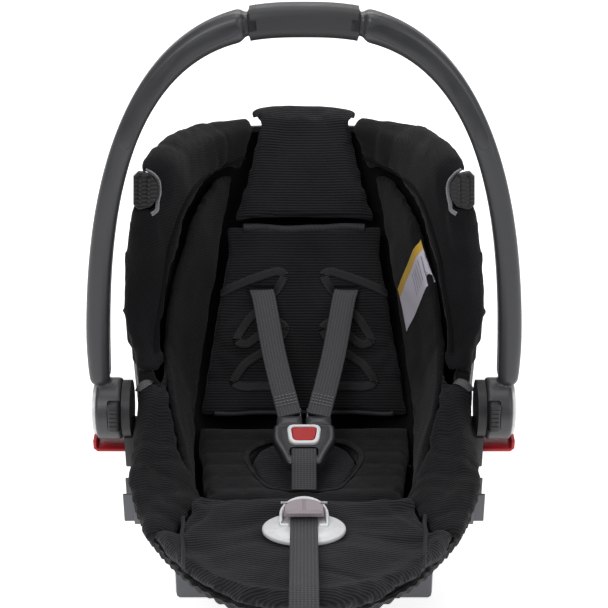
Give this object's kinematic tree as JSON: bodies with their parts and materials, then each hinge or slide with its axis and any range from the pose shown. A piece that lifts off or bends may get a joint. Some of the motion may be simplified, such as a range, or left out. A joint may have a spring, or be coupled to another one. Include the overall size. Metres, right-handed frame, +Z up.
{
  "type": "infant car seat",
  "caption": "Padded rear-facing infant carrier bucket with a three-point harness, front adjuster, rocker runners and a swinging carry handle.",
  "frame": {"origin": "on the floor, under the middle of the seat's overall length and width", "axes": "+X to the seated child's left, -Y towards the feet, +Z up"},
  "size_m": [0.424, 0.6273, 0.5927],
  "materials": {
    "shell_plastic": "fine moulded texture",
    "foam": "expanded polypropylene beads",
    "handle_plastic": "fine moulded texture",
    "grip_plastic": "satin moulded",
    "light_plastic": "gloss moulded",
    "guide_plastic": "ribbed",
    "red_plastic": "gloss moulded",
    "lever_plastic": "satin moulded",
    "steel": "zinc plated",
    "cover_fabric": "crepe weave",
    "knit_fabric": "ribbed knit",
    "webbing": "woven polyester",
    "label_fabric": "printed satin tape, blank"
  },
  "bodies": {
    "seat": {"adjuster_housing": "light_plastic", "adjuster_pin": "steel", "adjuster_spring": "steel", "adjuster_strap": "webbing", "back_pad": "cover_fabric", "buckle_body": "handle_plastic", "buckle_frame": "light_plastic", "buckle_spring": "steel", "crotch_anchor": "steel", "crotch_pad": "cover_fabric", "crotch_strap": "webbing", "foam_liner": "foam", "front_bolster": "cover_fabric", "harness_yoke": "steel", "head_panel": "knit_fabric", "left_adapter": "grip_plastic", "left_arm_pad": "cover_fabric", "left_axle": "steel", "left_belt_hook": "red_plastic", "left_front_screw": "steel", "left_lock_plate": "steel", "left_pivot_ear": "shell_plastic", "left_rear_screw": "steel", "left_runner": "handle_plastic", "left_shoulder_guide": "guide_plastic", "left_shoulder_strap": "webbing", "left_side_lining": "cover_fabric", "left_tongue": "steel", "left_wing_pad": "cover_fabric", "right_adapter": "grip_plastic", "right_arm_pad": "cover_fabric", "right_axle": "steel", "right_belt_hook": "red_plastic", "right_front_screw": "steel", "right_lock_plate": "steel", "right_pivot_ear": "shell_plastic", "right_rear_screw": "steel", "right_runner": "handle_plastic", "right_shoulder_guide": "guide_plastic", "right_shoulder_strap": "webbing", "right_side_lining": "cover_fabric", "right_tongue": "steel", "right_wing_pad": "cover_fabric", "seat_pad": "cover_fabric", "seat_shell": "shell_plastic", "side_label": "label_fabric"},
    "handle": {"handle_arch": "handle_plastic", "handle_grip": "grip_plastic", "left_handle_inlay": "grip_plastic", "left_hub_cap": "light_plastic", "left_button_spring": "steel", "right_handle_inlay": "grip_plastic", "right_hub_cap": "light_plastic", "right_button_spring": "steel"},
    "left_button": {"left_handle_button": "grip_plastic"},
    "right_button": {"right_handle_button": "grip_plastic"},
    "buckle_release": {"buckle_button": "red_plastic"},
    "adjuster_release": {"adjuster_lever": "lever_plastic"}
  },
  "joints": [
    {"name": "handle_swing", "type": "hinge", "parent": "seat", "child": "handle", "pos_m": [0, 0, 0.195], "axis": [1, 0, 0], "range_deg": [-100, 100]},
    {"name": "left_handle_release", "type": "slide", "parent": "handle", "child": "left_button", "axis": [0, 0.9848, -0.1736], "range_m": [0, 0.0025], "stiffness_N_per_m": 500, "springref_m": -0.002, "deforming": ["left_button_spring"]},
    {"name": "right_handle_release", "type": "slide", "parent": "handle", "child": "right_button", "axis": [0, 0.9848, -0.1736], "range_m": [0, 0.0025], "stiffness_N_per_m": 500, "springref_m": -0.002, "deforming": ["right_button_spring"]},
    {"name": "buckle_press", "type": "slide", "parent": "seat", "child": "buckle_release", "axis": [0, 0.2588, -0.9659], "range_m": [0, 0.003], "stiffness_N_per_m": 900, "springref_m": -0.003, "deforming": ["buckle_spring"]},
    {"name": "adjuster_press", "type": "hinge", "parent": "seat", "child": "adjuster_release", "pos_m": [0, -0.15474, 0.19428], "axis": [1, 0, 0], "range_deg": [0, 12], "stiffness_Nm_per_rad": 0.5, "springref_deg": -5.73, "deforming": ["adjuster_spring"]}
  ]
}
